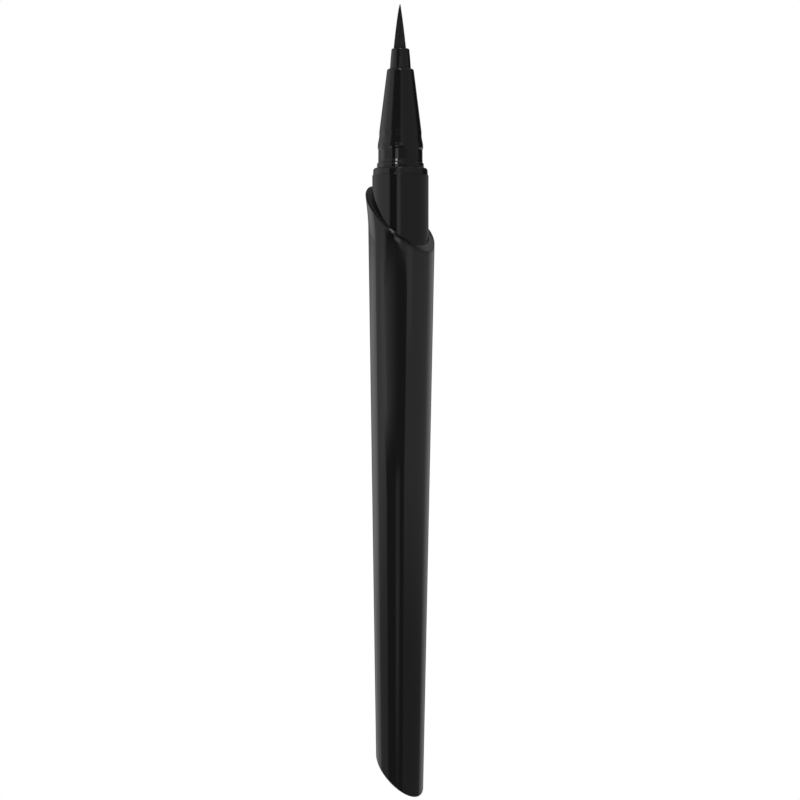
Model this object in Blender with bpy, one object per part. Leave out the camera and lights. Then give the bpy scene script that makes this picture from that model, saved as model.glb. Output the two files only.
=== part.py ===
# Liquid eyeliner pen with its cap off, brush end up. Metres, +Z up.
# The origin is where the slanted mouth of the outer barrel crosses the pen's axis.
# Both slanted cuts run low towards +X, and the high tongue of the mouth stands at -X.
# Pieces stack on the axis: each one takes its size from its neighbour and a named gap.

import math

import bmesh
import bpy
from mathutils import Vector

# Fits and faceting, shared by all the pieces
fit_gap = 0.0001  # radial play of a push fit
seat_gap = 0.00015  # end play where a piece stops against another
cut_overrun = 0.0005  # how far a cutter runs past what it cuts
weld_distance = 0.0000001
sharp_angle = math.radians(35)  # a steeper fold between two faces stays a crisp edge
shell_steps = 48  # facets round the pieces that show
inner_steps = 32  # facets round the pieces inside
edge_steps = 3  # facets across a rounded edge

# Finishes: colour, roughness, metallic value
gloss_black = ((0.006, 0.006, 0.007), 0.12, 0.0)
bristle_black = ((0.008, 0.008, 0.009), 0.6, 0.0)
inner_grey = ((0.35, 0.36, 0.38), 0.35, 0.0)
fibre_white = ((0.75, 0.73, 0.7), 0.9, 0.0)
rubber_black = ((0.03, 0.03, 0.03), 0.7, 0.0)
polished_steel = ((0.6, 0.6, 0.62), 0.2, 1.0)

# Brush: filaments ground to a point, melted into a wider head at the root
brush_length = 0.00756  # what stands out of the holder
brush_radius = 0.00103
brush_point_radius = 0.00004
brush_fullness_share = 0.78  # 1 is a straight cone, less is fuller
brush_rings = 8
brush_shank_length = 0.0072
brush_head_height = 0.0008
brush_head_step = 0.00016

# Tip holder: the small nozzle that grips the brush
holder_length = 0.00327  # what stands out of the front section
holder_lip = 0.00047  # wall round the brush at the top
holder_flare = 0.00028  # how much wider it is at the foot
holder_edge = 0.00024
holder_ledge = 0.00028  # step from the foot to the shank
holder_end_wall = 0.0003

# Front section: cone, cap bead, neck, snap ring, shoulder and collar in one moulding
nose_wall = 0.00062
nose_edge = 0.00036
cone_length = 0.0108
waist_length = 0.0006
bead_flare_length = 0.0019  # from the waist down to the cap bead
bead_flare_depth = 0.00028
bead_flare_share = 0.4  # of its depth that the flare has gained halfway down
bead_back = 0.00036
bead_height = 0.00013
neck_length = 0.00204
neck_depth = 0.0002
ring_height = 0.00103
ring_lead = 0.0003  # the ring's sloping top edge, which leads a cap on
ring_taper = 0.00005
shoulder_width = 0.00034  # the flat step where a cap stops
shoulder_chamfer = 0.00028
shoulder_drop = 0.00042
collar_height = 0.00082
collar_taper = 0.00006
collar_inset = 0.00012
neck_wall = 0.0009
spigot_length = 0.0036  # goes down into the inner barrel
core_passage = 0.0004  # room round the relay core in the cone
passage_taper = 0.0018

# Front seal: a rubber ring in a groove of the spigot
seal_thickness = 0.0008
seal_steps = 8
seal_setback = 0.001  # from the collar down to the groove
groove_side_gap = 0.0001

# Relay core: a fibre rod that carries the liquid to the brush
core_radius = 0.0007
core_reach = 0.0045  # into the tank, past the tank seal

# Collector: a finned comb that takes up surplus liquid
collector_hub = 0.0007  # wall between the relay core and the fins
upper_collector_length = 0.0078
upper_fins = 6
lower_fins = 7
fin_share = 0.45  # how much of each pitch is fin
vent_width = 0.0005  # the air slit down one side of the fins
vent_floor = 0.00015  # what the slit leaves standing on the hub
tube_socket_depth = 0.0012

# Tank seal: closes the space between the collector and the tank
tank_seal_height = 0.0012
tank_seal_crown = 0.0002

# Core tube: leads the relay core into the tank
core_tube_wall = 0.00035

# Inner barrel: the wide body that shows above the mouth, and the tank below it
body_radius = 0.00476
body_rise = 0.00735  # from the mouth's centre up to the collar
body_edge = 0.00012
body_wall = 0.0008
body_cover = 0.0005  # how far the wide body reaches below the mouth's low lip
body_floor = 0.0008
tank_length = 0.04
tank_wall = 0.0007
tank_clearance = 0.00015

# Mixing ball: rolls loose in the tank
ball_diameter = 0.0035
ball_refinement = 3

# Tail plug: closes the tank
plug_depth = 0.004
plug_flange = 0.0012
plug_recess_depth = 0.0022
plug_wall = 0.0009

# Outer barrel: the tapering shell that the hand holds
mouth_wall = 0.00079
barrel_wall = 0.00105
barrel_length = 0.0936  # between the centres of the two slanted cuts
tail_radius = 0.00398
tail_floor = 0.0012
tail_edge = 0.00042
mouth_lean = 0.00028  # how far the mouth stands off the axis, towards the low lip
tail_lean = 0.00012  # how far the tail stands off it, the other way
mouth_angle = math.radians(40.2)
mouth_bow = 0.00058  # how far the cut curls away from a flat plane at both ends
tail_angle = math.radians(44)
tongue_flare = 0.00055  # how far the tongue curls outwards at its rim
tongue_flare_length = 0.005
tongue_curve = 1.6  # 1 is a straight flare, more keeps the curl near the rim
tongue_ring_shares = (0.0, 0.14, 0.3, 0.5, 0.75, 1.0)
settling_rounds = 6  # passes that bring a point onto a slanted cut

# Radii that follow, from the brush outwards
holder_top_radius = brush_radius + holder_lip
holder_foot_radius = holder_top_radius + holder_flare
holder_shank_radius = holder_foot_radius - holder_ledge
nose_bore = holder_shank_radius + fit_gap
nose_radius = nose_bore + nose_wall

# Radii that follow, from the body inwards
collar_radius = body_radius - collar_inset
collar_top_radius = collar_radius - collar_taper
shoulder_radius = collar_top_radius - shoulder_chamfer
ring_radius = shoulder_radius - shoulder_width
ring_top_radius = ring_radius - ring_taper
neck_radius = ring_top_radius - neck_depth
bead_radius = neck_radius + bead_height
waist_radius = bead_radius - bead_flare_depth
front_bore = neck_radius - neck_wall
body_bore = body_radius - body_wall
spigot_radius = body_bore - fit_gap
socket_radius = body_radius + fit_gap
mouth_radius = socket_radius + mouth_wall

# Radii that follow, from the relay core outwards
core_bore = core_radius + fit_gap
hub_radius = core_bore + collector_hub
core_tube_radius = core_bore + core_tube_wall

# Heights that follow, from the mouth's centre upwards
collar_foot = body_rise + seat_gap
collar_top = collar_foot + collar_height
shoulder_height = collar_top + shoulder_drop
ring_top = shoulder_height + ring_height
neck_top = ring_top + neck_length
bead_centre = neck_top + bead_back
waist_foot = bead_centre + bead_flare_length
cone_foot = waist_foot + waist_length
nose_top = cone_foot + cone_length
holder_foot = nose_top + seat_gap
holder_top = holder_foot + holder_length
brush_point = holder_top + brush_length
brush_head_foot = holder_top - brush_shank_length
holder_end = brush_head_foot - holder_end_wall


def mouth_height(across):
    """Height of the mouth's cut at a distance towards the low lip."""
    return -math.tan(mouth_angle) * across - mouth_bow * (across / mouth_radius) ** 3


def tail_height(across):
    return -barrel_length - math.tan(tail_angle) * across


def barrel_radius(height):
    return mouth_radius + (mouth_radius - tail_radius) * height / barrel_length


def barrel_centre(height):
    return mouth_lean + (mouth_lean + tail_lean) * height / barrel_length


# Heights that follow, from the mouth's centre downwards
lip_depth = -mouth_height(mouth_radius + mouth_lean)
body_foot = -lip_depth - body_cover
ledge_height = body_foot - seat_gap
seal_foot = body_foot + body_floor + seat_gap
seal_top = seal_foot + tank_seal_height
core_foot = seal_foot - core_reach
collector_foot = seal_top + seat_gap
tank_foot = body_foot - tank_length
plug_top = tank_foot + plug_depth
spigot_foot = collar_foot - spigot_length
collector_shoulder = spigot_foot - seat_gap
collector_top = collector_shoulder + upper_collector_length

# The tank fills the tapering barrel at its foot, on the side where the barrel is nearest
tank_room = barrel_radius(tank_foot) - barrel_wall - barrel_centre(tank_foot)
tank_radius = tank_room - tank_clearance
tank_bore = tank_radius - tank_wall


def clear_scene():
    for thing in list(bpy.data.objects):
        bpy.data.objects.remove(thing)


def material(name, colour, roughness, metallic):
    made = bpy.data.materials.new(name)
    made.use_nodes = True
    shader = made.node_tree.nodes["Principled BSDF"]
    shader.inputs["Base Color"].default_value = (*colour, 1.0)
    shader.inputs["Roughness"].default_value = roughness
    shader.inputs["Metallic"].default_value = metallic
    return made


def object_from(bm, name):
    """Closes a bmesh into an object of that name."""
    bmesh.ops.recalc_face_normals(bm, faces=bm.faces)
    mesh = bpy.data.meshes.new(name)
    bm.to_mesh(mesh)
    bm.free()
    made = bpy.data.objects.new(name, mesh)
    bpy.context.scene.collection.objects.link(made)
    return made


def piece(bm, name, finish):
    """Makes a piece with a material of its own, shaded smooth up to its crisp edges."""
    made = object_from(bm, name)
    made.data.shade_smooth()
    made.data.set_sharp_from_angle(angle=sharp_angle)
    made.data.materials.append(material(name + "_finish", *finish))
    return made


def turned(name, outline, finish, steps=inner_steps, ring=False):
    """Spins an outline of (radius, height) points round the axis. A ring's outline closes on itself."""
    bm = bmesh.new()
    verts = [bm.verts.new((radius, 0, height)) for radius, height in outline]
    ends = verts[1:] + verts[:1] if ring else verts[1:]
    edges = [bm.edges.new(pair) for pair in zip(verts, ends)]
    bmesh.ops.spin(
        bm,
        geom=verts + edges,
        cent=(0, 0, 0),
        axis=(0, 0, 1),
        angle=math.tau,
        steps=steps,
        use_merge=True,
    )
    bmesh.ops.remove_doubles(bm, verts=bm.verts, dist=weld_distance)
    return piece(bm, name, finish)


def rounded(corner_radius, corner_height, edge, side=1):
    """Points of a rounded outer edge, top to side for side 1 and side to foot for side -1."""
    points = []
    for step in range(edge_steps + 1):
        turn = math.pi / 2 * step / edge_steps
        across, along = math.sin(turn), math.cos(turn)
        if side < 0:
            across, along = along, across
        radius = corner_radius - edge + edge * across
        points.append((radius, corner_height - side * edge * (1 - along)))
    return points


def comb(radius, hub, top, foot, fins):
    """The outline of a row of fins, from the top down, starting and ending on a fin's edge."""
    pitch = (top - foot) / (fins - 1 + fin_share)
    points = []
    for index in range(fins):
        fin_top = top - index * pitch
        fin_foot = fin_top - pitch * fin_share
        points += [(radius, fin_top), (radius, fin_foot)]
        if index < fins - 1:
            points += [(hub, fin_foot), (hub, fin_top - pitch)]
    return points


def make_brush_tip():
    outline = [(0, brush_point)]
    for ring in range(brush_rings + 1):
        share = ring / brush_rings
        spread = brush_radius - brush_point_radius
        radius = brush_point_radius + spread * share**brush_fullness_share
        outline.append((radius, brush_point - brush_length * share))
    head_top = brush_head_foot + brush_head_height
    outline += [
        (brush_radius, head_top),
        (brush_radius + brush_head_step, head_top),
        (brush_radius + brush_head_step, brush_head_foot),
        (0, brush_head_foot),
    ]
    return turned("brush_tip", outline, bristle_black)


def make_tip_holder():
    bore = brush_radius + fit_gap
    pocket = brush_radius + brush_head_step + fit_gap
    pocket_top = brush_head_foot + brush_head_height + seat_gap
    outline = [(bore, holder_top)]
    outline += rounded(holder_top_radius, holder_top, holder_edge)
    outline += [
        (holder_foot_radius, holder_foot),
        (holder_shank_radius, holder_foot),
        (holder_shank_radius, holder_end),
        (pocket, holder_end),
        (pocket, pocket_top),
        (bore, pocket_top),
    ]
    return turned("tip_holder", outline, gloss_black, ring=True)


def make_front_section():
    passage = core_radius + core_passage
    groove_radius = spigot_radius - seal_thickness
    groove_top = collar_foot - seal_setback
    groove_foot = groove_top - seal_thickness - 2 * groove_side_gap
    bore_top = collector_top + seat_gap
    flare_radius = waist_radius + bead_flare_depth * bead_flare_share
    outline = [(nose_bore, nose_top)]
    outline += rounded(nose_radius, nose_top, nose_edge)
    outline += [
        (waist_radius, cone_foot),
        (waist_radius, waist_foot),
        (flare_radius, (waist_foot + bead_centre) / 2),
        (bead_radius, bead_centre),
        (neck_radius, neck_top),
        (neck_radius, ring_top),
        (ring_top_radius, ring_top - ring_lead),
        (ring_radius, shoulder_height),
        (shoulder_radius, shoulder_height),
        (collar_top_radius, collar_top),
        (collar_radius, collar_foot),
        (spigot_radius, collar_foot),
        (spigot_radius, groove_top),
        (groove_radius, groove_top),
        (groove_radius, groove_foot),
        (spigot_radius, groove_foot),
        (spigot_radius, spigot_foot),
        (front_bore, spigot_foot),
        (front_bore, bore_top),
        (passage, bore_top + passage_taper),
        (passage, holder_end - seat_gap),
        (nose_bore, holder_end - seat_gap),
    ]
    return turned("front_section", outline, gloss_black, steps=shell_steps, ring=True)


def make_front_seal():
    section_radius = (seal_thickness - fit_gap) / 2
    centre_radius = spigot_radius - seal_thickness / 2
    centre_height = collar_foot - seal_setback - groove_side_gap - seal_thickness / 2
    outline = []
    for step in range(seal_steps):
        turn = math.tau * step / seal_steps
        radius = centre_radius + section_radius * math.cos(turn)
        outline.append((radius, centre_height + section_radius * math.sin(turn)))
    return turned("front_seal", outline, rubber_black, ring=True)


def make_relay_core():
    outline = [
        (0, holder_end),
        (core_radius, holder_end),
        (core_radius, core_foot),
        (0, core_foot),
    ]
    return turned("relay_core", outline, fibre_white)


def make_collector():
    upper_radius = front_bore - fit_gap
    lower_radius = body_bore - fit_gap
    socket = core_tube_radius + fit_gap
    socket_top = collector_foot + tube_socket_depth
    outline = [(core_bore, collector_top)]
    outline += comb(upper_radius, hub_radius, collector_top, collector_shoulder, upper_fins)
    outline += comb(lower_radius, hub_radius, collector_shoulder, collector_foot, lower_fins)
    outline += [
        (socket, collector_foot),
        (socket, socket_top),
        (core_bore, socket_top),
    ]
    collector = turned("collector", outline, inner_grey, ring=True)
    cut = collector.modifiers.new("vent", "BOOLEAN")
    cut.operation = "DIFFERENCE"
    cut.solver = "EXACT"
    cut.object = vent_cutter(lower_radius)
    return collector


def vent_cutter(fin_radius):
    """The air slit's cutter: a thin upright slab from the hub out past the widest fins."""
    near = hub_radius + vent_floor
    far = fin_radius + cut_overrun
    top = collector_top + cut_overrun
    foot = collector_foot - cut_overrun
    bm = bmesh.new()
    bmesh.ops.create_cube(bm, size=1)
    bmesh.ops.scale(bm, vec=Vector((far - near, vent_width, top - foot)), verts=bm.verts)
    middle = Vector(((near + far) / 2, 0, (top + foot) / 2))
    bmesh.ops.translate(bm, vec=middle, verts=bm.verts)
    cutter = object_from(bm, "vent_cutter")
    cutter.hide_render = True
    cutter.display_type = "WIRE"
    return cutter


def make_core_tube():
    top = collector_foot + tube_socket_depth - seat_gap
    foot = core_foot + seat_gap
    outline = [
        (core_bore, top),
        (core_tube_radius, top),
        (core_tube_radius, foot),
        (core_bore, foot),
    ]
    return turned("core_tube", outline, inner_grey, ring=True)


def make_tank_seal():
    outer = body_bore - fit_gap
    inner = core_tube_radius + fit_gap
    outline = [
        (inner, seal_top),
        (outer - tank_seal_crown, seal_top),
        (outer, (seal_top + seal_foot) / 2),
        (outer - tank_seal_crown, seal_foot),
        (inner, seal_foot),
    ]
    return turned("tank_seal", outline, rubber_black, ring=True)


def make_inner_barrel():
    bore_floor = body_foot + body_floor
    outline = [(body_bore, body_rise)]
    outline += rounded(body_radius, body_rise, body_edge)
    outline += [
        (body_radius, body_foot),
        (tank_radius, body_foot),
        (tank_radius, tank_foot),
        (tank_bore, tank_foot),
        (tank_bore, bore_floor),
        (body_bore, bore_floor),
    ]
    return turned("inner_barrel", outline, gloss_black, steps=shell_steps, ring=True)


def make_mixing_ball():
    """The ball's origin is its centre, on the axis that it slides along."""
    bm = bmesh.new()
    bmesh.ops.create_icosphere(bm, subdivisions=ball_refinement, radius=ball_diameter / 2)
    ball = piece(bm, "mixing_ball", polished_steel)
    ball.location.z = plug_top + seat_gap + ball_diameter / 2
    return ball


def make_tail_plug():
    outer = tank_bore - fit_gap
    seat = tank_foot - seat_gap
    foot = seat - plug_flange
    recess = outer - plug_wall
    outline = [
        (0, plug_top),
        (outer, plug_top),
        (outer, seat),
        (tank_radius, seat),
        (tank_radius, foot),
        (recess, foot),
        (recess, foot + plug_recess_depth),
        (0, foot + plug_recess_depth),
    ]
    return turned("tail_plug", outline, inner_grey)


def shell_point(angle, height, inset=0.0):
    """A point on the outer barrel's tapering side, inset inwards from it."""
    reach = barrel_radius(height) - inset
    across = barrel_centre(height) + reach * math.cos(angle)
    return Vector((across, reach * math.sin(angle), height))


def slanted_point(angle, slant, lift=0.0, inset=0.0):
    """The point of that side that stands a lift above a slanted cut."""
    point = shell_point(angle, slant(0) + lift, inset)
    for _ in range(settling_rounds):
        point = shell_point(angle, slant(point.x) + lift, inset)
    return point


def tongue_swell(angle, share):
    """How far the tongue curls outwards at a share of its flare's length below the rim."""
    return tongue_flare * max(0.0, -math.cos(angle)) * (1 - share) ** tongue_curve


def rim_point(angle, share):
    """A point of the outer side, at a share of the flare's length below the mouth's rim."""
    rim = slanted_point(angle, mouth_height, inset=-tongue_swell(angle, 0.0))
    height = rim.z - share * tongue_flare_length
    return shell_point(angle, height, -tongue_swell(angle, share))


def socket_point(angle, height):
    """A point of the socket's wall, at the height that a rule gives for its place."""
    across = socket_radius * math.cos(angle)
    return Vector((across, socket_radius * math.sin(angle), height(across)))


def make_outer_barrel():
    """Loops of points from the tail's flat face up the outside, over the rim and down the bore."""
    bm = bmesh.new()

    def loop(place):
        turns = [math.tau * step / shell_steps for step in range(shell_steps)]
        return [bm.verts.new(place(angle)) for angle in turns]

    loops = []
    for inset, lift in reversed(rounded(0, 0, tail_edge, side=-1)):
        loops.append(loop(lambda angle: slanted_point(angle, tail_height, lift, -inset)))
    for share in reversed(tongue_ring_shares):
        loops.append(loop(lambda angle: rim_point(angle, share)))
    loops.append(loop(lambda angle: socket_point(angle, mouth_height)))
    loops.append(loop(lambda angle: socket_point(angle, lambda across: ledge_height)))
    loops.append(loop(lambda angle: shell_point(angle, ledge_height, barrel_wall)))
    loops.append(
        loop(lambda angle: slanted_point(angle, tail_height, tail_floor, barrel_wall))
    )
    for lower, upper in zip(loops, loops[1:]):
        for step in range(shell_steps):
            after = (step + 1) % shell_steps
            bm.faces.new((lower[step], lower[after], upper[after], upper[step]))
    bm.faces.new(loops[0])
    bm.faces.new(loops[-1])
    return piece(bm, "outer_barrel", gloss_black)


def main():
    clear_scene()
    make_brush_tip()
    make_tip_holder()
    make_front_section()
    make_front_seal()
    make_relay_core()
    make_collector()
    make_core_tube()
    make_tank_seal()
    make_inner_barrel()
    make_mixing_ball()
    make_tail_plug()
    make_outer_barrel()


main()
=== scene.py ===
# Uncapped liquid eyeliner pen: finely rounded mouldings, a brush of single hairs and their finishes,
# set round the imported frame. Brush end up; both slanted cuts of the barrel run low towards +X.

import math
import random

import bmesh
import bpy
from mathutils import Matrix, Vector


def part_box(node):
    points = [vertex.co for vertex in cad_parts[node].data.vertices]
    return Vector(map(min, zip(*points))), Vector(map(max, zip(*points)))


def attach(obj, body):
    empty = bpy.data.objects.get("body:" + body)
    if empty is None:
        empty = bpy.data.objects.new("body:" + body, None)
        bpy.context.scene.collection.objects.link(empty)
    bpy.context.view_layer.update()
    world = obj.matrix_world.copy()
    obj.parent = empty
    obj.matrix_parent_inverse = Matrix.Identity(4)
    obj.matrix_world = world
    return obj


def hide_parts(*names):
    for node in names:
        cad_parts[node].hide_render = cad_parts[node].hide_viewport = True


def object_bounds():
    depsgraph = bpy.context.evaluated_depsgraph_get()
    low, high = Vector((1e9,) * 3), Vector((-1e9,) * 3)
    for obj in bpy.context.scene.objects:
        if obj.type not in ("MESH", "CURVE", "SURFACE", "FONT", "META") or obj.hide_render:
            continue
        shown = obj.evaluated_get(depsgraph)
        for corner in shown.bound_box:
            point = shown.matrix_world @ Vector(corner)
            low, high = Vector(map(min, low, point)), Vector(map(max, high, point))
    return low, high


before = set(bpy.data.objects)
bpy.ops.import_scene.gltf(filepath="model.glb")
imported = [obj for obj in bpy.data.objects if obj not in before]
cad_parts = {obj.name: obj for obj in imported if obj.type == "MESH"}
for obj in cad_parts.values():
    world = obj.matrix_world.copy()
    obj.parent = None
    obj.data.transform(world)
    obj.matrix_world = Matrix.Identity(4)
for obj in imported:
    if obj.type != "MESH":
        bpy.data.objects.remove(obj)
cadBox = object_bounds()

seam = 0.015  # what stays open where one moulding stops against the next
mm = 0.001  # shapes are laid out in millimetres and scaled once, when their mesh is made

smoothness = {
    "stepsAround": 192,
    "arcSteps": 7,  # faces across a rounded edge
    "reachShare": 0.46,  # the most of a stretch that a rounding may take
    "supportShare": 0.12,  # how far past a rounded edge its support ring lies, of the next stretch
    "supportLimit": 0.04,
}


def frameBox(node):
    low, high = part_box(node)
    return low / mm, high / mm


# Rounds the corners of a path. Each corner is (point, radius of its rounding) and may end in its wear.
# Gives (point, wear) pairs. Without a wear of its own a rounded edge has 1 and a plain stretch 0.
def roundedPath(corners, closed=False):
    path = []
    last = len(corners) - 1
    for index, (corner, rounding, *own) in enumerate(corners):
        wear, edgeWearAndPaintedLight = (own[0], own[0]) if own else (0.0, 1.0)
        atEnd = not closed and index in (0, last)
        if atEnd or rounding == 0:
            path.append((corner, wear))
            continue
        before = corners[index - 1][0] - corner
        after = corners[(index + 1) % len(corners)][0] - corner
        half = before.angle(after) / 2
        most = smoothness["reachShare"]
        reach = min(rounding / math.tan(half), most * before.length, most * after.length)
        radius = reach * math.tan(half)
        back, ahead = before.normalized(), after.normalized()
        centre = corner + (back + ahead).normalized() * (radius / math.sin(half))
        start = (corner + back * reach - centre).normalized()
        end = (corner + ahead * reach - centre).normalized()
        path.append((corner + back * supportReach(before.length, reach), wear))
        for step in range(smoothness["arcSteps"] + 1):
            turned = start.slerp(end, step / smoothness["arcSteps"]).normalized()
            path.append((centre + turned * radius, edgeWearAndPaintedLight))
        path.append((corner + ahead * supportReach(after.length, reach), wear))
    return path


# The rounding that starts at the same reach from a corner, however sharp the corner is.
def evenRounding(before, corner, after, reach):
    return reach * math.tan((before - corner).angle(after - corner) / 2)


def supportReach(length, reach):
    return reach + min(smoothness["supportShare"] * (length - reach), smoothness["supportLimit"])


# Sweeps a path round the pen. pathAt gives the path at an angle, always with as many points.
# A closed path makes a ring; an open one starts and ends at a point that all angles share.
def sweep(bm, pathAt, steps, closed):
    wearLayer = bm.verts.layers.float.new("edgeWearAndPaintedLight")
    rows = []
    for step in range(steps):
        path = pathAt(math.tau * step / steps)
        row = []
        for index, (point, wear) in enumerate(path):
            shared = not closed and index in (0, len(path) - 1)
            if shared and rows:
                row.append(rows[0][index])
                continue
            vert = bm.verts.new(point * mm)
            vert[wearLayer] = wear
            row.append(vert)
        rows.append(row)
    for here, there in zip(rows, rows[1:] + rows[:1]):
        for index in range(len(here) if closed else len(here) - 1):
            after = (index + 1) % len(here)
            corners = dict.fromkeys((here[index], here[after], there[after], there[index]))
            bm.faces.new(list(corners))


# Turns a profile of (radius, height, rounding) corners, some with a wear, round the axis.
def turn(bm, profile, closed=False, steps=smoothness["stepsAround"]):
    corners = [(Vector((radius, 0, height)), *finish) for radius, height, *finish in profile]
    path = roundedPath(corners, closed)

    def pathAt(angle):
        across, along = math.cos(angle), math.sin(angle)
        return [(Vector((p.x * across, p.x * along, p.z)), wear) for p, wear in path]

    sweep(bm, pathAt, steps, closed)


# Makes the object that stands for a node of the frame and rides with the pen.
def dress(bm, name, material, node):
    bmesh.ops.recalc_face_normals(bm, faces=bm.faces)
    mesh = bpy.data.meshes.new(name)
    bm.to_mesh(mesh)
    bm.free()
    mesh.shade_smooth()
    mesh.materials.append(material)
    made = bpy.data.objects.new(name, mesh)
    bpy.context.scene.collection.objects.link(made)
    weighted = made.modifiers.new("evenShading", "WEIGHTED_NORMAL")
    weighted.weight = 50
    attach(made, "pen")
    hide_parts(node)
    print("made", name, len(mesh.polygons), "faces")


# Links a value that is a socket, and sets any other on the node's own socket.
def connect(tree, socket, value):
    if isinstance(value, bpy.types.NodeSocket):
        tree.links.new(value, socket)
    else:
        socket.default_value = value


def addNode(tree, kind, values=None, **options):
    made = tree.nodes.new(kind)
    for option, value in options.items():
        setattr(made, option, value)
    for socket, value in (values or {}).items():
        connect(tree, made.inputs[socket], value)
    return made


def mathNode(tree, operation, first, second=0.0):
    made = addNode(tree, "ShaderNodeMath", {0: first, 1: second}, operation=operation)
    return made.outputs[0]


def spread(tree, value, low, high, toLow, toHigh, smooth=False):
    kind = "SMOOTHSTEP" if smooth else "LINEAR"
    values = {"Value": value, "From Min": low, "From Max": high, "To Min": toLow, "To Max": toHigh}
    made = addNode(tree, "ShaderNodeMapRange", values, interpolation_type=kind)
    return made.outputs["Result"]


noiseReach = (0.3, 0.7)  # nearly all of a noise's values lie between these


def noise(tree, scale, detail, stretch=None):
    place = addNode(tree, "ShaderNodeTexCoord").outputs["Object"]
    if stretch:
        place = addNode(tree, "ShaderNodeMapping", {"Vector": place, "Scale": stretch}).outputs[0]
    values = {"Vector": place, "Scale": scale, "Detail": detail}
    return addNode(tree, "ShaderNodeTexNoise", values).outputs["Fac"]


def mixColour(tree, share, first, second):
    colours = [end if isinstance(end, bpy.types.NodeSocket) else (*end, 1) for end in (first, second)]
    made = addNode(tree, "ShaderNodeMix", data_type="RGBA")
    for socket, value in zip((0, 6, 7), (share, *colours)):
        connect(tree, made.inputs[socket], value)
    return made.outputs[2]


def bumpFrom(tree, height, depth):
    values = {"Height": height, "Strength": 1.0, "Distance": depth}
    return addNode(tree, "ShaderNodeBump", values).outputs["Normal"]


def newMaterial(name):
    made = bpy.data.materials.new(name)
    made.use_nodes = True
    return made, made.node_tree, made.node_tree.nodes["Principled BSDF"]


# Moulded gloss plastic: a deep black with a faint haze, hairline scratches along the pen,
# the slight waves of a moulded skin, and edges that handling has dulled a little. Where the wear runs past 1,
# at the barrel's mouth, the worn and scuff colours are partly painted light: a lighter colour that lifts the
# shade in the crevice between mouth and inner body.
def glossPlastic(name, look):
    made, tree, shader = newMaterial(name)
    haze = noise(tree, look["hazeScale"], 3)
    lines = noise(tree, 1.0, 3, look["scratchStretch"])
    scratches = spread(tree, lines, look["scratchFrom"], look["scratchTo"], 0, 1)
    # edge wear; at the barrel's mouth it also carries painted light over the shade there
    wear = addNode(tree, "ShaderNodeAttribute", attribute_name="edgeWearAndPaintedLight").outputs["Fac"]
    patchy = mathNode(tree, "MULTIPLY", wear, noise(tree, look["wearScale"], 4))
    # the worn colour's share: real wear on edges and scratches, and full at the mouth, where it is partly
    # painted light
    wornAndPaintedLight = mathNode(tree, "MAXIMUM", patchy, mathNode(tree, "MULTIPLY", scratches, look["scratchWear"]))
    # the lighter scuff colour: partly real scuffing, partly painted light that lifts the shade inside the
    # mouth
    scuffAndPaintedLight = spread(tree, wear, look["scuffAndPaintedLightFrom"], look["scuffAndPaintedLightTo"], 0, 1)
    colour = mixColour(tree, wornAndPaintedLight, look["colour"], look["wornAndPaintedLightColour"])
    tree.links.new(mixColour(tree, scuffAndPaintedLight, colour, look["scuffAndPaintedLightColour"]), shader.inputs["Base Color"])
    low, high = look["roughness"] - look["hazeDepth"], look["roughness"] + look["hazeDepth"]
    roughness = spread(tree, haze, *noiseReach, low, high)
    for share, added in ((wornAndPaintedLight, look["wornRoughness"]), (scuffAndPaintedLight, look["scuffedRoughness"])):
        roughness = mathNode(tree, "ADD", roughness, mathNode(tree, "MULTIPLY", share, added))
    tree.links.new(roughness, shader.inputs["Roughness"])
    waves = noise(tree, look["waveScale"], 1)
    skin = mathNode(tree, "SUBTRACT", waves, mathNode(tree, "MULTIPLY", scratches, look["scratchDepth"]))
    tree.links.new(bumpFrom(tree, skin, look["waveDepth"]), shader.inputs["Normal"])
    shader.inputs["IOR"].default_value = look["ior"]
    return made


barrelLook = {
    "colour": (0.0055, 0.0055, 0.0058),
    "wornAndPaintedLightColour": (0.012, 0.012, 0.0125),
    "roughness": 0.048,
    "hazeDepth": 0.01,  # how far the haze moves the roughness
    "wornRoughness": 0.1,  # what full wear adds to it
    # scuff colour, lighter than the plastic: also painted light over the shade in the mouth's crevice
    "scuffAndPaintedLightColour": (0.04, 0.04, 0.042),
    "scuffedRoughness": 0.3,
    "scuffAndPaintedLightFrom": 1,  # the wear past which the skin turns scuffed and painted lighter
    "scuffAndPaintedLightTo": 3,
    "ior": 1.55,
    "hazeScale": 90,
    "wearScale": 2500,
    "scratchStretch": (5200, 5200, 260),
    "scratchFrom": 0.68,
    "scratchTo": 0.76,
    "scratchWear": 0.4,
    "scratchDepth": 0.5,
    "waveScale": 420,
    "waveDepth": 0.0000012,
}
bodyLook = dict(barrelLook, roughness=0.036, hazeDepth=0.006, hazeScale=140)
holderLook = dict(barrelLook, roughness=0.13, hazeDepth=0.03, hazeScale=400, waveScale=1100)


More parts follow.
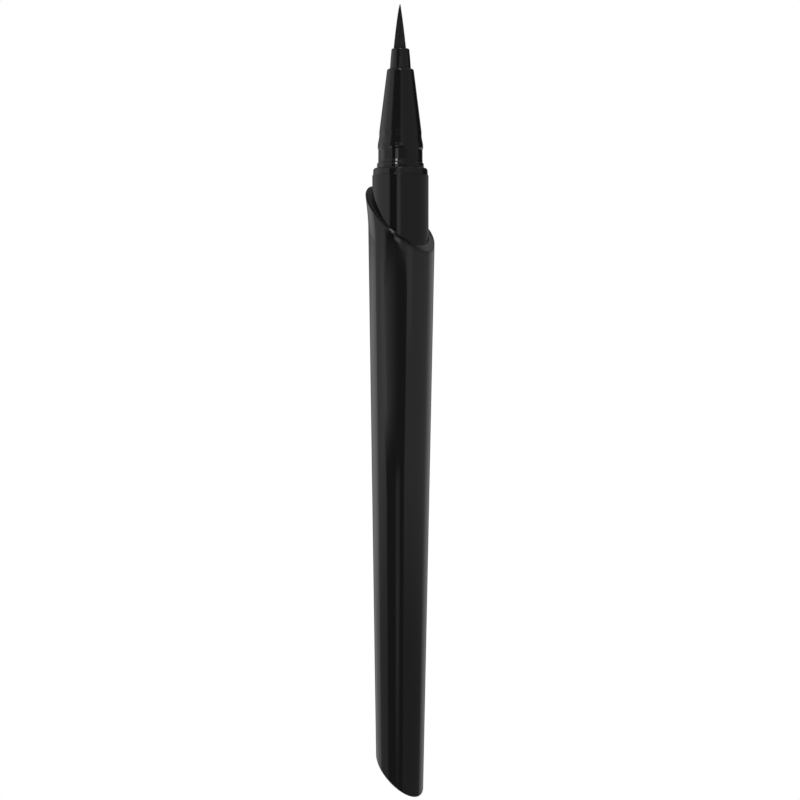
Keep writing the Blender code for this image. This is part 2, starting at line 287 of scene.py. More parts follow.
brush = {
    "hairs": (62, 57, 51, 45, 39, 32),  # in each ring, from the outside in
    "fullness": 0.78,  # 1 is a straight cone, less is fuller
    "pointRadius": 0.04,
    "radius": 1.06,
    "length": 7.56,
    "coreShare": 0.62,  # of the bundle's radius
    "coreSteps": 12,
    "coreSides": 96,
    "coreDrop": 0.05,  # how much lower its first ring lies than the point
    "coreCap": 0.3,  # how much lower its tip lies, of the point's radius
    "rootDepth": 0.5,  # how far the hairs go down into the holder
    "stations": 11,  # rings along a hair
    "sides": 5,
    "shortest": 0.42,  # the share of the length at which the first hairs end
    "endPower": 2.2,  # a higher one brings more hairs up to the point
    "outerRings": 3,
    "innerShare": 0.4,  # of the outer rings' shortening, for the rings inside them
    "taperPower": 12,  # a higher one keeps a hair thick for longer
    "hairEnd": 0.2,  # what it keeps of its thickness at its end
    "gather": 0.1,  # how far it leans inwards as it thins
    "overlap": 1.12,  # a hair's thickness, of the room that its ring gives it
    "ringSpacing": 0.55,  # from a ring to the next one in, of that thickness
    "scatter": 0.12,  # how far a hair may stand off its place, of the step to the next hair
    "twist": 0.05,
    "headHeight": 0.8,
    "headEdge": 0.12,
    "leaning": 0.1,  # how far the hairs stand off the axis, to the photo's left
    "seed": 4,
}

bristleLook = {
    "colour": (0.0115, 0.0115, 0.012),
    "dryColour": (0.0185, 0.0185, 0.0195),
    "dryFrom": 0.35,
    "dryTo": 0.7,
    "roughness": 0.5,
    "roughnessSpread": 0.2,
    "hairStretch": (9000, 9000, 300),
    "depth": 0.000004,
    "specular": 0.25,
}


# Dyed filaments, wetted by the liner: nearly matt, streaked along their length.
def bristleMaterial():
    made, tree, shader = newMaterial("wetBristle")
    look = bristleLook
    streaks = noise(tree, 1.0, 3, look["hairStretch"])
    share = spread(tree, streaks, look["dryFrom"], look["dryTo"], 0, 1)
    tree.links.new(mixColour(tree, share, look["colour"], look["dryColour"]), shader.inputs["Base Color"])
    low, high = look["roughness"], look["roughness"] + look["roughnessSpread"]
    tree.links.new(spread(tree, streaks, *noiseReach, low, high), shader.inputs["Roughness"])
    tree.links.new(bumpFrom(tree, streaks, look["depth"]), shader.inputs["Normal"])
    shader.inputs["Specular IOR Level"].default_value = look["specular"]
    return made


# The bundle's radius at a share of its length below the point.
def bundleRadius(share):
    spreadOut = brush["radius"] - brush["pointRadius"]
    return brush["pointRadius"] + spreadOut * max(share, 0.0) ** brush["fullness"]


# One hair: a tapering tube that keeps its place in the bundle as the bundle draws in to its point.
def addHair(bm, place, thickness, angle, endShare, point, twist):
    rootShare = 1 + brush["rootDepth"] / brush["length"]
    aside = pictureRight * brush["leaning"]
    rings = []
    for station in range(brush["stations"]):
        along = station / (brush["stations"] - 1)
        share = rootShare + (endShare - rootShare) * along
        reach = bundleRadius(min(share, 1.0))
        taper = max(1 - along ** brush["taperPower"], brush["hairEnd"])
        middle = reach * place * (1 - brush["gather"] * (1 - taper))
        turned = angle + twist * along
        centre = Vector((middle * math.cos(turned), middle * math.sin(turned), 0)) - aside
        centre.z = point - share * brush["length"]
        radius = reach * thickness * taper
        ring = []
        for side in range(brush["sides"]):
            at = turned + math.tau * side / brush["sides"]
            outwards = Vector((math.cos(at), math.sin(at), 0))
            ring.append(bm.verts.new((centre + outwards * radius) * mm))
        rings.append(ring)
    for lower, upper in zip(rings, rings[1:]):
        for side in range(brush["sides"]):
            after = (side + 1) % brush["sides"]
            bm.faces.new((lower[side], lower[after], upper[after], upper[side]))
    bm.faces.new(rings[0])
    bm.faces.new(rings[-1])


def makeBrush():
    low, high = frameBox("brush_tip")
    point = high.z
    holderTop = point - brush["length"]
    headTop = low.z + brush["headHeight"]
    bm = bmesh.new()
    profile = [(0, point - brush["coreCap"] * brush["pointRadius"], 0)]
    for step in range(brush["coreSteps"] + 1):
        share = step / brush["coreSteps"]
        height = point - brush["length"] * share - brush["coreDrop"] * (1 - share)
        profile.append((bundleRadius(share) * brush["coreShare"], height, 0))
    profile += [
        (brush["radius"], holderTop - brush["rootDepth"], 0),
        (brush["radius"], headTop, 0),
        (high.x, headTop, brush["headEdge"]),
        (high.x, low.z, brush["headEdge"]),
        (0, low.z, 0),
    ]
    turn(bm, profile, steps=brush["coreSides"])
    draw = random.Random(brush["seed"])
    place = 1.0
    for ringIndex, count in enumerate(brush["hairs"]):
        half = math.sin(math.pi / count)
        thickness = half * place / (1 + half) * brush["overlap"]
        place -= thickness
        stagger = ringIndex % 2 / 2
        endReach = 1 if ringIndex < brush["outerRings"] else brush["innerShare"]
        for index in range(count):
            scatter = draw.uniform(-brush["scatter"], brush["scatter"])
            angle = math.tau * (index + stagger + scatter) / count
            endShare = draw.random() ** brush["endPower"] * brush["shortest"] * endReach
            twist = draw.uniform(-brush["twist"], brush["twist"])
            addHair(bm, place, thickness, angle, endShare, point, twist)
        place -= thickness * brush["ringSpacing"]
    dress(bm, "brush_filaments", bristleMaterial(), "brush_tip")


holder = {
    "topRadius": 1.50,
    "bellyRadius": 1.65,
    "bellyDrop": 1.6,
    "bellyEase": 8,
    "topEdge": 0.24,
    "footEdge": 0.04,
    "shankRadius": 1.50,
    "shankEdge": 0.05,
    "bore": 1.13,
    "mouthEdge": 0.1,
    "pocket": 1.29,
    "pocketHeight": 1.25,
}


def makeHolder():
    low, high = frameBox("tip_holder")
    foot = frameBox("front_section")[1].z + seam
    pocketTop = low.z + holder["pocketHeight"]
    profile = [
        (holder["bore"], high.z, holder["mouthEdge"]),
        (holder["topRadius"], high.z, holder["topEdge"]),
        (holder["bellyRadius"], high.z - holder["bellyDrop"], holder["bellyEase"], 0),
        (high.x, foot, holder["footEdge"]),
        (holder["shankRadius"], foot, 0),
        (holder["shankRadius"], low.z, holder["shankEdge"]),
        (holder["pocket"], low.z, 0),
        (holder["pocket"], pocketTop, 0),
        (holder["bore"], pocketTop, 0),
    ]
    bm = bmesh.new()
    turn(bm, profile, closed=True)
    gloss = glossPlastic("holderGloss", holderLook)
    dress(bm, "tip_holder_moulding", gloss, "tip_holder")


# The front section from its nose down. An edge rounds a corner that stands out, an ease any other.
# A draft is what a face gains in radius towards its foot.
front = {
    "noseRadius": 2.24,
    "noseBore": 1.60,
    "noseBoreEdge": 0.06,
    "noseEdge": 0.42,
    "waistRadius": 3.57,
    "waistDraft": 0.014,
    "coneFoot": 14.9,
    "coneFootEase": 0.5,
    "waistFoot": 14.02,
    "waistEase": 0.3,
    "beadTop": 12.72,
    "beadTopEase": 0.4,
    "beadRadius": 3.84,
    "beadBelly": 12.28,
    "beadDraft": 0.011,
    "beadBellyEase": 2,
    "beadFoot": 12.07,
    "beadFootDraft": 0.002,
    "beadEdge": 0.08,
    "neckRadius": 3.735,
    "neckTop": 11.81,
    "neckTopEase": 0.12,
    "neckDraft": 0.013,
    "flareTop": 10.05,  # the neck widens a little down to its ring
    "flareTopEase": 2,
    "ringFlare": 0.02,  # what it has gained there
    "ringTop": 9.62,
    "ringEase": 0.05,
    "ringRadius": 3.965,
    "ringTopRadius": 3.944,
    "ringBelly": 9.12,  # down to here the ring leans a little
    "ringBellyRadius": 3.962,
    "ringBellyEase": 2,
    "ringLead": 0.12,  # the height of its lead-in, over which a cap slides
    "ringEdge": 0.05,
    "ringFootEase": 0.03,
    "stepWear": 0.3,  # on the edges of ring, shoulder and collar, where 1 is full wear
    "shoulderHeight": 8.68,
    "shoulderRadius": 4.40,
    "shoulderEdge": 0.03,
    "collarTop": 8.46,
    "collarTopRadius": 4.58,
    "collarEdge": 0.12,
    "collarFootEase": 0.02,
    "spigotRadius": 3.86,
    "spigotEdge": 0.1,
    "grooveRadius": 3.06,
    "grooveTop": 6.50,
    "grooveFoot": 5.50,
    "grooveEdge": 0.04,
    "bore": 2.81,
    "boreEdge": 0.05,
    "boreTop": 11.70,
    "passage": 1.10,
    "passageTop": 21.24,
    "passageTaper": 1.8,  # the height over which the bore narrows to the passage
}


def makeFrontSection():
    low, high = frameBox("front_section")
    collarFoot = frameBox("inner_barrel")[1].z + inner["topLift"] + seam
    s = front
    profile = [
        (s["noseBore"], high.z, s["noseBoreEdge"]),
        (s["noseRadius"], high.z, s["noseEdge"]),
        (s["waistRadius"], s["coneFoot"], s["coneFootEase"], 0),
        (s["waistRadius"] + s["waistDraft"], s["waistFoot"], s["waistEase"], 0),
        (s["beadRadius"] - s["beadDraft"], s["beadTop"], s["beadTopEase"], 0),
        (s["beadRadius"], s["beadBelly"], s["beadBellyEase"], 0),
        (s["beadRadius"] + s["beadFootDraft"], s["beadFoot"], s["beadEdge"]),
        (s["neckRadius"], s["neckTop"], s["neckTopEase"], 0),
        (s["neckRadius"] + s["neckDraft"], s["flareTop"], s["flareTopEase"], 0),
        (s["neckRadius"] + s["neckDraft"] + s["ringFlare"], s["ringTop"], s["ringEase"], 0),
        (s["ringTopRadius"], s["ringTop"] - s["ringLead"], s["ringEdge"], s["stepWear"]),
        (s["ringBellyRadius"], s["ringBelly"], s["ringBellyEase"], 0),
        (s["ringRadius"], s["shoulderHeight"], s["ringFootEase"], 0),
        (s["shoulderRadius"], s["shoulderHeight"], s["shoulderEdge"], s["stepWear"]),
        (s["collarTopRadius"], s["collarTop"], s["collarEdge"], s["stepWear"]),
        (high.x, collarFoot, s["collarFootEase"], 0),
        (s["spigotRadius"], collarFoot, 0),
        (s["spigotRadius"], s["grooveTop"], s["grooveEdge"]),
        (s["grooveRadius"], s["grooveTop"], 0),
        (s["grooveRadius"], s["grooveFoot"], 0),
        (s["spigotRadius"], s["grooveFoot"], s["grooveEdge"]),
        (s["spigotRadius"], low.z, s["spigotEdge"]),
        (s["bore"], low.z, s["boreEdge"]),
        (s["bore"], s["boreTop"], 0),
        (s["passage"], s["boreTop"] + s["passageTaper"], 0),
        (s["passage"], s["passageTop"], 0),
        (s["noseBore"], s["passageTop"], 0),
    ]
    bm = bmesh.new()
    turn(bm, profile, closed=True)
    gloss = glossPlastic("bodyGloss", bodyLook)
    dress(bm, "front_section_moulding", gloss, "front_section")


inner = {
    "topLift": 0.14,  # how much higher than the frame's it ends
    "topEdge": 0.05,
    "bore": 3.96,
    "boreEdge": 0.06,
    "foot": -6.182,
    "floor": 0.8,
    "tankRadius": 3.543,
    "tankEase": 0.2,
    "tankEdge": 0.1,
    "tankBore": 2.843,
    "tankBoreEdge": 0.05,
    "footEdge": 0.3,
}


def makeInnerBarrel():
    low, high = frameBox("inner_barrel")
    s = inner
    top = high.z + s["topLift"]
    profile = [
        (s["bore"], top, s["boreEdge"]),
        (high.x, top, s["topEdge"], 0),
        (high.x, s["foot"], s["footEdge"]),
        (s["tankRadius"], s["foot"], s["tankEase"]),
        (s["tankRadius"], low.z, s["tankEdge"]),
        (s["tankBore"], low.z, s["tankBoreEdge"]),
        (s["tankBore"], s["foot"] + s["floor"], 0),
        (s["bore"], s["foot"] + s["floor"], 0),
    ]
    bm = bmesh.new()
    turn(bm, profile, closed=True)
    gloss = glossPlastic("innerBodyGloss", bodyLook)
    dress(bm, "inner_barrel_moulding", gloss, "inner_barrel")


barrel = {
    "mouthRadius": 5.65,
    "socketRadius": 4.775,
    "wall": 1.05,
    "length": 93.6,  # between the centres of the two slanted cuts
    "tailRadius": 3.98,
    "tailFloor": 1.2,
    "tailEdge": 0.45,
    "mouthLean": 0.28,  # how far the mouth stands off the axis, towards the low lip
    "tailLean": 0.12,  # how far the tail stands off it, the other way
    "mouthAngle": 40.2,
    "mouthBow": 0.58,  # how far the cut curls away from a flat plane at both ends
    "tongueLift": 0.33,  # how much higher the cut runs on the tongue's side
    "liftStart": 1.5,  # where across the mouth this starts, towards the lip
    "liftLength": 4,
    "tailAngle": 44,
    "ledge": -6.19,  # where the socket stops and the hollow begins
    "ledgeEdge": 0.1,
    "tongueFlare": 0.55,  # how far the tongue curls outwards at its rim
    "flareLength": 5.0,
    "flareCurve": 1.6,
    "flareRings": 14,
    "flareSpacing": 1.3,  # more than 1 brings the rings closer together at the rim
    "crown": 0.016,  # how far the side draws in at the rim
    "crownLength": 1.6,
    "lipDish": 0.08,  # how much lower the mouth's inner edge lies at the lip than a flat cut
    "dishReach": 1.4,  # 2 would fade the dish out from the lip on, less keeps it further round
    "tongueRaise": 0.11,  # how much higher than a flat cut it lies at the tongue
    "rimWearAndPaintedLight": 1.6,  # handling has scuffed the mouth, and it is painted lighter against the shade between mouth and inner body, most inside and at the tongue
    "socketWearAndPaintedLight": 3.8,
    "rimOuterEdge": 0.42,
    "rimInnerEdge": 0.08,
    "lipSharpness": 0.93,  # how much smaller both edges are at the low lip
    "lipFrom": 0.5,  # the cosine of the angle from the lip at which they start to sharpen
    "lipSpan": 0.35,  # how much more of it makes them fully sharp
    "slantSteps": 8,  # tries in which a point of the side settles on a slanted cut
    "steps": 240,
}


def mouthHeight(across):
    bow = barrel["mouthBow"] * (across / barrel["mouthRadius"]) ** 3
    share = min(max((barrel["liftStart"] - across) / barrel["liftLength"], 0.0), 1.0)
    lift = barrel["tongueLift"] * share**2 * (3 - 2 * share)
    return lift - math.tan(math.radians(barrel["mouthAngle"])) * across - bow


def tailHeight(across):
    return -barrel["length"] - math.tan(math.radians(barrel["tailAngle"])) * across


# A point of the barrel's tapering side, inset inwards from it.
def sidePoint(angle, height, inset=0.0):
    share = height / barrel["length"]
    reach = barrel["mouthRadius"] + (barrel["mouthRadius"] - barrel["tailRadius"]) * share - inset
    centre = barrel["mouthLean"] + (barrel["mouthLean"] + barrel["tailLean"]) * share
    return Vector((centre + reach * math.cos(angle), reach * math.sin(angle), height))


# The point of that side that lies a lift above a slanted cut.
def slantedPoint(angle, slant, lift=0.0, inset=0.0):
    point = sidePoint(angle, slant(0) + lift, inset)
    for settle in range(barrel["slantSteps"]):
        point = sidePoint(angle, slant(point.x) + lift, inset)
    return point


# How far the side stands inside its plain taper near the rim, at a share of the flare's length below it.
def rimInset(angle, share):
    lean = max(0.0, -math.cos(angle))
    swell = barrel["tongueFlare"] * lean * (1 - share) ** barrel["flareCurve"]
    drawnIn = max(0.0, 1 - share * barrel["flareLength"] / barrel["crownLength"])
    return barrel["crown"] * drawnIn**2 - swell


# A point of the socket's wall at a height, or else of the edge where the wall meets the mouth.
def socketPoint(angle, height=None):
    across = barrel["socketRadius"] * math.cos(angle)
    if height is None:
        share = min((1 + math.cos(angle)) / barrel["dishReach"], 1.0)
        height = mouthHeight(across) + barrel["tongueRaise"] * (1 - share) - barrel["lipDish"] * share
    return Vector((across, barrel["socketRadius"] * math.sin(angle), height))


# The barrel's section at an angle: tail face, side, curling rim, socket, hollow and tail floor.
def barrelPath(angle):
    tailCentre = Vector((-barrel["tailLean"], 0, 0))
    tailCentre.z = tailHeight(tailCentre.x)
    floorCentre = tailCentre + Vector((0, 0, barrel["tailFloor"]))
    rim = slantedPoint(angle, mouthHeight, inset=rimInset(angle, 0.0))
    tailRim = slantedPoint(angle, tailHeight)
    above = sidePoint(angle, tailRim.z + 1)
    corners = [(tailCentre, 0), (tailRim, evenRounding(tailCentre, tailRim, above, barrel["tailEdge"]))]
    for ring in range(barrel["flareRings"], 0, -1):
        share = (ring / barrel["flareRings"]) ** barrel["flareSpacing"]
        height = rim.z - share * barrel["flareLength"]
        corners.append((sidePoint(angle, height, rimInset(angle, share)), 0))
    socket = socketPoint(angle)
    below = corners[-1][0]
    down = socket - Vector((0, 0, 1))
    lipShare = min(max((math.cos(angle) - barrel["lipFrom"]) / barrel["lipSpan"], 0.0), 1.0)
    edge = 1 - barrel["lipSharpness"] * lipShare
    # the mouth's wear and painted light, most at the tongue
    wear = (1 - math.cos(angle)) / 2
    corners += [
        (rim, evenRounding(below, rim, socket, barrel["rimOuterEdge"] * edge), barrel["rimWearAndPaintedLight"] * wear),
        (socket, evenRounding(rim, socket, down, barrel["rimInnerEdge"] * edge), barrel["socketWearAndPaintedLight"] * wear),
        (socketPoint(angle, barrel["ledge"]), 0),
        (sidePoint(angle, barrel["ledge"], barrel["wall"]), barrel["ledgeEdge"]),
        (slantedPoint(angle, tailHeight, barrel["tailFloor"], barrel["wall"]), 0),
        (floorCentre, 0),
    ]
    return roundedPath(corners)


def makeOuterBarrel():
    bm = bmesh.new()
    sweep(bm, barrelPath, barrel["steps"], closed=False)
    gloss = glossPlastic("barrelGloss", barrelLook)
    dress(bm, "outer_barrel_moulding", gloss, "outer_barrel")


# Finishes of the pieces inside, which keep the frame's own shapes.
insideLooks = {
    "naturalPlastic": {"colour": (0.35, 0.36, 0.38), "dark": (0.29, 0.3, 0.32), "roughness": 0.34,
                       "metallic": 0.0, "scale": 700, "stretch": None, "depth": 0.000004},
    "fibreRod": {"colour": (0.75, 0.73, 0.7), "dark": (0.5, 0.48, 0.46), "roughness": 0.85,
                 "metallic": 0.0, "scale": 1.0, "stretch": (9000, 9000, 500), "depth": 0.00002},
    "sealRubber": {"colour": (0.03, 0.03, 0.03), "dark": (0.018, 0.018, 0.018), "roughness": 0.65,
                   "metallic": 0.0, "scale": 3500, "stretch": None, "depth": 0.000006},
    "polishedSteel": {"colour": (0.6, 0.6, 0.62), "dark": (0.52, 0.52, 0.54), "roughness": 0.16,
                      "metallic": 1.0, "scale": 2600, "stretch": None, "depth": 0.0000008},
}
insideSpread = 0.15  # how far the grain moves each roughness, as a share of it
insideFinishes = {
    "collector": "naturalPlastic",
    "core_tube": "naturalPlastic",
    "tail_plug": "naturalPlastic",
    "relay_core": "fibreRod",
    "front_seal": "sealRubber",
    "tank_seal": "sealRubber",
    "mixing_ball": "polishedSteel",
}


def insideMaterial(name, look):
    made, tree, shader = newMaterial(name)
    grain = noise(tree, look["scale"], 4, look["stretch"])
    share = spread(tree, grain, *noiseReach, 0, 1)
    tree.links.new(mixColour(tree, share, look["dark"], look["colour"]), shader.inputs["Base Color"])
    low, high = look["roughness"] * (1 - insideSpread), look["roughness"] * (1 + insideSpread)
    tree.links.new(spread(tree, grain, *noiseReach, low, high), shader.inputs["Roughness"])
    tree.links.new(bumpFrom(tree, grain, look["depth"]), shader.inputs["Normal"])
    shader.inputs["Metallic"].default_value = look["metallic"]
    return made


def finishInside():
    made = {name: insideMaterial(name, look) for name, look in insideLooks.items()}
    for node, finish in insideFinishes.items():
        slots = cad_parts[node].data.materials
        slots.clear()
        slots.append(made[finish])
    print("finished", len(insideFinishes), "inside pieces")


view = {
    "azimuth": 43,  # degrees from the plane of the slants
    "distance": 450,
    "height": -30.38,  # level with the middle of the picture
    "sideways": -0.07,
    "pictureWidth": 135.02,  # what the picture spans at the pen
    "sensor": 36,
    "nearest": 10,  # nothing closer is drawn
}
turnedTo = math.radians(view["azimuth"])
towardsCamera = Vector((math.sin(turnedTo), -math.cos(turnedTo), 0))
pictureRight = Vector((math.cos(turnedTo), math.sin(turnedTo), 0))


def addCamera():
    data = bpy.data.cameras.new("photoCamera")
    data.sensor_width = view["sensor"]
    data.lens = view["sensor"] * view["distance"] / view["pictureWidth"]
    data.clip_start = view["nearest"] * mm
    camera = bpy.data.objects.new("photoCamera", data)
    place = towardsCamera * view["distance"] + pictureRight * view["sideways"]
    camera.location = (place + Vector((0, 0, view["height"]))) * mm
    camera.rotation_euler = (-towardsCamera).to_track_quat("-Z", "Y").to_euler()
    bpy.context.scene.collection.objects.link(camera)
    bpy.context.scene.camera = camera
    print("camera", view["distance"], "mm away")


# The studio as the gloss sees it. Angles in degrees: across runs from the camera, plus to its right,
# and up from level. Each reach is (first, last, softness), or with one softness for either end.
# A panel that leans shifts across by its lean for each degree up. Later panels cover earlier ones.
# A level of 1 is white card in full light, a low one a dark flag, and the lamps are far brighter.
studio = {
    "open": 0.2,
    "panels": {
        "leftSheet": {"across": (-136, -45, 40, 8), "up": (-100, 100, 1), "level": 0.52},
        "leftWindow": {"across": (-150, -104, 14, 5), "up": (-16, 2.2, 3), "level": 0.76},
        "leftWindowCore": {"across": (-131, -104, 12, 5), "up": (-4.8, 2.2, 2.4), "level": 1.1},
        "leftLowShade": {"across": (-102, -50, 12), "up": (-16, -4.8, 4), "level": 0.28},
        "leftTall": {"across": (-128, -88, 16, 10), "up": (7.6, 40, 0.4, 6), "level": 0.64},
        "neckWindow": {"across": (-123, -93, 14), "up": (5.4, 7.2, 0.2), "level": 0.8},
        "neckSheet": {"across": (-88, -41, 12, 6), "up": (5.4, 7.2, 0.2), "level": 0.42},
        "rightSheet": {"across": (-30, 110, 10), "up": (-16, 2.8, 4, 0.8), "level": 0.37},
        "rightLow": {"across": (0, 112, 6, 10), "up": (-16, -5.6, 5.6), "level": 0.165},
        "rightEdgeStrip": {"across": (19, 39, 6), "up": (-0.9, 2.8, 1.4, 0.8), "level": 0.5},
        "rightBack": {"across": (112, 153, 22, 10), "up": (-16, 3, 4, 0.5), "level": 0.64},
        "rightBackFlag": {"across": (106, 152, 24, 14), "up": (5.4, 28, 0.2), "level": 0.01},
        "flagEdge": {"across": (0, 19, 6, 8), "up": (7.2, 28, 0.2), "level": 0.25},
        "holderEdge": {"across": (-4, 28, 6, 12), "up": (14.6, 18.4, 0.4), "level": 0.35},
        "highFlag": {"across": (-54, 0, 14, 6), "up": (17.6, 30, 0.6), "level": 0.045},
        "midFlag": {"across": (-50, -16, 12), "up": (14.5, 17.6, 0.6), "level": 0.05},
        "waistFlag": {"across": (-50, -1, 14, 6), "up": (7.2, 9.3, 0.2), "level": 0.05},
        "beadFlag": {"across": (-56, -46, 14, 6), "up": (7.9, 9.3, 0.2), "level": 0.05},
        "beadSpot": {"across": (-6, 12, 5), "up": (7.8, 9.2, 0.2), "level": 0.5},
        "collarSheet": {"across": (-3, 85, 4, 20), "up": (11.2, 14.4, 0.2, 0.6), "level": 0.25},
        "collarFlag": {"across": (-48, -18, 6, 3), "up": (11.2, 14.4, 0.2, 0.6), "level": 0.01},
        "collarStrip": {"across": (-17, -1, 3, 6), "up": (11.2, 14.4, 0.2, 0.6), "level": 0.48},
        "neckShade": {"across": (-10, 32, 4, 20), "up": (5.4, 7.2, 0.2), "level": 0.11},
        "neckFlag": {"across": (-43, -26, 4, 4), "up": (5.4, 7.2, 0.2), "level": 0.0},
        "neckStrip": {"across": (-26, -11, 4), "up": (5.4, 7.2, 0.2), "level": 0.94},
        "bodyFlag": {"across": (-43, -13, 10, 8), "up": (3.2, 5.4, 0.4, 0.2), "level": 0.02},
        "bodyStrip": {"across": (-14, 0, 8, 10), "up": (3.2, 5.4, 0.4, 0.2), "level": 0.54},
        "barrelFlag": {"across": (-57, -10, 16, 14), "up": (-16, 3.2, 4, 0.4), "level": 0.02},
        "rimStreak": {"across": (-23, -3, 10, 8), "up": (2.15, 3.1, 0.3), "level": 1.15},
        "overhead": {"across": (-300, 300, 1), "up": (30, 100, 6), "level": 0.2},
        "faceShade": {"across": (120, 165, 8), "up": (33, 43, 3), "level": 0.07},
        "faceSheet": {"across": (120, 165, 8), "up": (42.3, 46, 3, 1), "level": 0.47},
        "tongueShade": {"across": (110, 175, 8), "up": (46, 80, 1, 2), "level": 0.08},
        "holderGlow": {"across": (-70, 4, 30, 20), "up": (29, 41, 3), "level": 0.65},
        "overheadFlag": {"across": (-95, -15, 20, 10), "up": (43, 66, 3), "level": 0.06},
        "lowLeftStrip": {"across": (-150, -130, 8), "up": (-38, -12, 4), "level": 0.9},
        "lowRightStrip": {"across": (122, 140, 8), "up": (-38, -12, 4), "level": 0.7},
        "underFront": {"across": (-38, 20, 8), "up": (-100, -14, 4), "level": 0.02},
        "rimLamp": {"across": (-12, 8, 4), "up": (29, 39, 2), "level": 11},
        "smallLamp": {"across": (-25.5, -15.5, 2), "up": (9.6, 11, 0.2), "level": 8},
    },
    # the dark stand that carries the camera: a rounded top on a body that narrows below
    "cameraStand": {"across": -30, "halfWidth": 50, "top": 1.15, "soft": 0.06, "level": 0.05,
                    "waistTop": 0, "waistFoot": -4, "waistShare": 0.51, "waistShift": 8},
    "panelsBeforeStand": {
        "barrelGlow": {"across": (-84, -42, 6, 76), "up": (-2.8, 0.9, 1.3), "level": 0.64},
        "glowStreak": {"across": (-77, -62, 5), "up": (-2.2, 1.4, 0.8), "lean": -3.75, "level": 0.74},
        "lowStrip": {"across": (-20, -5, 9, 6), "up": (-9.6, -3.9, 5, 0.6), "level": 0.3},
        "lowSlit": {"across": (-67, -51, 4), "up": (-60, -14, 3), "level": 1},
    },
    "lamp": {"across": -20, "up": 60, "away": 800, "side": 150, "watts": 0.64},
}


# 1 inside the reach and 0 outside it.
def window(tree, value, first, last, softness, endSoftness=None):
    endSoftness = endSoftness or softness
    rising = spread(tree, value, first - softness / 2, first + softness / 2, 0, 1, True)
    falling = spread(tree, value, last - endSoftness / 2, last + endSoftness / 2, 1, 0, True)
    return mathNode(tree, "MULTIPLY", rising, falling)


def layOver(tree, under, mask, level):
    made = addNode(tree, "ShaderNodeMix", {0: mask, 2: under, 3: level}, data_type="FLOAT")
    return made.outputs[0]


def layPanels(tree, level, across, up, panels):
    for panel in panels.values():
        shifted = across
        if "lean" in panel:
            shifted = mathNode(tree, "SUBTRACT", across, mathNode(tree, "MULTIPLY", up, panel["lean"]))
        sideways = window(tree, shifted, *panel["across"])
        mask = mathNode(tree, "MULTIPLY", sideways, window(tree, up, *panel["up"]))
        level = layOver(tree, level, mask, panel["level"])
    return level


def layStand(tree, level, across, up):
    stand = studio["cameraStand"]
    shift = spread(tree, up, stand["waistFoot"], stand["waistTop"], stand["waistShift"], 0)
    centre = mathNode(tree, "ADD", shift, stand["across"])
    aside = mathNode(tree, "SUBTRACT", across, centre)
    sideways = mathNode(tree, "DIVIDE", aside, stand["halfWidth"])
    above = mathNode(tree, "DIVIDE", mathNode(tree, "MAXIMUM", up, 0.0), stand["top"])
    narrowed = spread(tree, up, stand["waistFoot"], stand["waistTop"], stand["waistShare"], 0)
    reach = mathNode(tree, "ADD", mathNode(tree, "MULTIPLY", sideways, sideways), narrowed)
    reach = mathNode(tree, "ADD", reach, mathNode(tree, "MULTIPLY", above, above))
    mask = spread(tree, reach, 1 - stand["soft"], 1 + stand["soft"], 1, 0, True)
    return layOver(tree, level, mask, stand["level"])


def addStudio():
    world = bpy.data.worlds.new("studio")
    bpy.context.scene.world = world
    world.use_nodes = True
    tree = world.node_tree
    tree.nodes.clear()
    direction = addNode(tree, "ShaderNodeTexCoord").outputs["Generated"]

    def part(axis):
        made = addNode(tree, "ShaderNodeVectorMath", {0: direction, 1: axis}, operation="DOT_PRODUCT")
        return made.outputs["Value"]

    turned = mathNode(tree, "ARCTAN2", part(pictureRight), part(towardsCamera))
    across = mathNode(tree, "MULTIPLY", turned, math.degrees(1))
    up = mathNode(tree, "MULTIPLY", mathNode(tree, "ARCSINE", part(Vector((0, 0, 1)))), math.degrees(1))
    level = layPanels(tree, studio["open"], across, up, studio["panels"])
    level = layStand(tree, level, across, up)
    level = layPanels(tree, level, across, up, studio["panelsBeforeStand"])
    white = {"Color": (1, 1, 1, 1)}
    seen = addNode(tree, "ShaderNodeBackground", dict(white, Strength=level)).outputs[0]
    plain = addNode(tree, "ShaderNodeBackground", dict(white, Strength=1.0)).outputs[0]
    ray = addNode(tree, "ShaderNodeLightPath").outputs["Is Glossy Ray"]
    mixed = addNode(tree, "ShaderNodeMixShader", {0: ray, 1: plain, 2: seen}).outputs[0]
    addNode(tree, "ShaderNodeOutputWorld", {"Surface": mixed})
    world.cycles.sampling_method = "NONE"
    print("studio of", len(studio["panels"]) + len(studio["panelsBeforeStand"]), "panels")


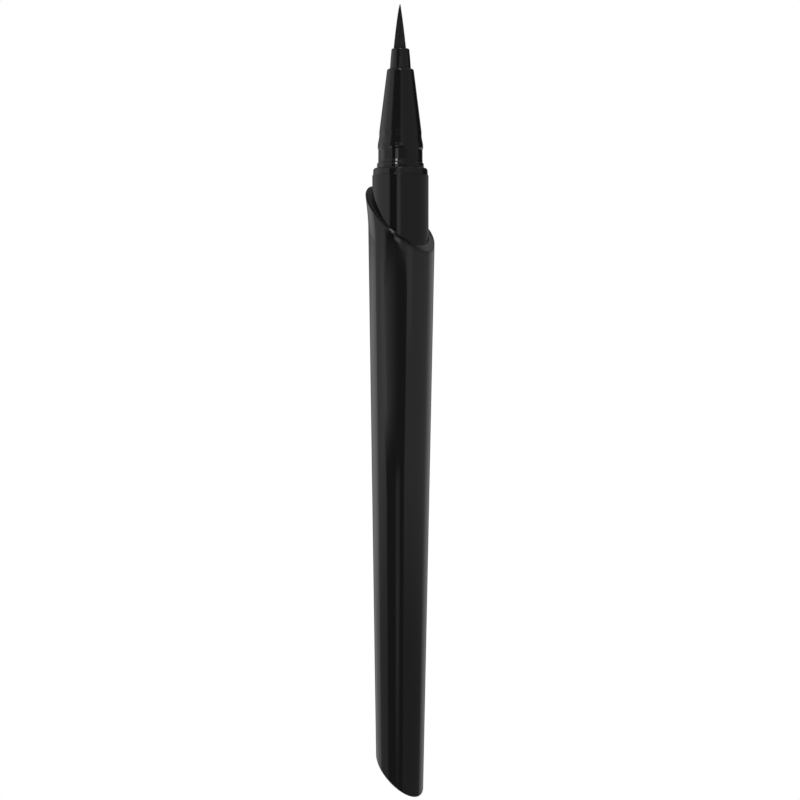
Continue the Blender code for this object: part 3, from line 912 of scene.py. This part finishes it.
def addLamp():
    lamp = studio["lamp"]
    data = bpy.data.lights.new("overheadLamp", "AREA")
    data.energy = lamp["watts"]
    data.size = lamp["side"] * mm
    made = bpy.data.objects.new("overheadLamp", data)
    across, up = math.radians(lamp["across"]), math.radians(lamp["up"])
    level = towardsCamera * math.cos(across) + pictureRight * math.sin(across)
    direction = level * math.cos(up) + Vector((0, 0, math.sin(up)))
    made.location = direction * lamp["away"] * mm
    made.rotation_euler = (-direction).to_track_quat("-Z", "Y").to_euler()
    made.visible_camera = False
    made.visible_glossy = False
    bpy.context.scene.collection.objects.link(made)


floor = {
    "radius": 300,
    "fade": 90,  # how far in from its edge it fades out
    "drop": 60,  # below the tail
    "colour": (0.8, 0.8, 0.8),
    "lift": 0.2,  # how much light it adds for the camera
    "sides": 96,
}


def addFloor():
    made, tree, shader = newMaterial("paleFloor")
    tree.nodes.remove(shader)
    place = addNode(tree, "ShaderNodeTexCoord").outputs["Object"]
    reach = addNode(tree, "ShaderNodeVectorMath", {0: place}, operation="LENGTH").outputs["Value"]
    outer = floor["radius"] * mm
    fading = spread(tree, reach, outer - floor["fade"] * mm, outer, 0, 1, True)
    matt = addNode(tree, "ShaderNodeBsdfDiffuse", {"Color": (*floor["colour"], 1)}).outputs[0]
    ray = addNode(tree, "ShaderNodeLightPath").outputs["Is Camera Ray"]
    lift = mathNode(tree, "MULTIPLY", ray, floor["lift"])
    glow = addNode(tree, "ShaderNodeEmission", {"Strength": lift}).outputs[0]
    solid = addNode(tree, "ShaderNodeAddShader", {0: matt, 1: glow}).outputs[0]
    clear = addNode(tree, "ShaderNodeBsdfTransparent").outputs[0]
    mixed = addNode(tree, "ShaderNodeMixShader", {0: fading, 1: solid, 2: clear}).outputs[0]
    output = next(node for node in tree.nodes if node.type == "OUTPUT_MATERIAL")
    tree.links.new(mixed, output.inputs["Surface"])
    bm = bmesh.new()
    bmesh.ops.create_circle(bm, cap_ends=True, segments=floor["sides"], radius=outer)
    mesh = bpy.data.meshes.new("floor")
    bm.to_mesh(mesh)
    bm.free()
    mesh.materials.append(made)
    disc = bpy.data.objects.new("floor", mesh)
    disc.location.z = cadBox[0].z - floor["drop"] * mm
    disc.visible_glossy = False
    bpy.context.scene.collection.objects.link(disc)
    print("floor", floor["drop"], "mm below the tail")


makeBrush()
makeHolder()
makeFrontSection()
makeInnerBarrel()
makeOuterBarrel()
finishInside()
addCamera()
addStudio()
addLamp()
addFloor()
bpy.context.scene.view_settings.view_transform = "Standard"
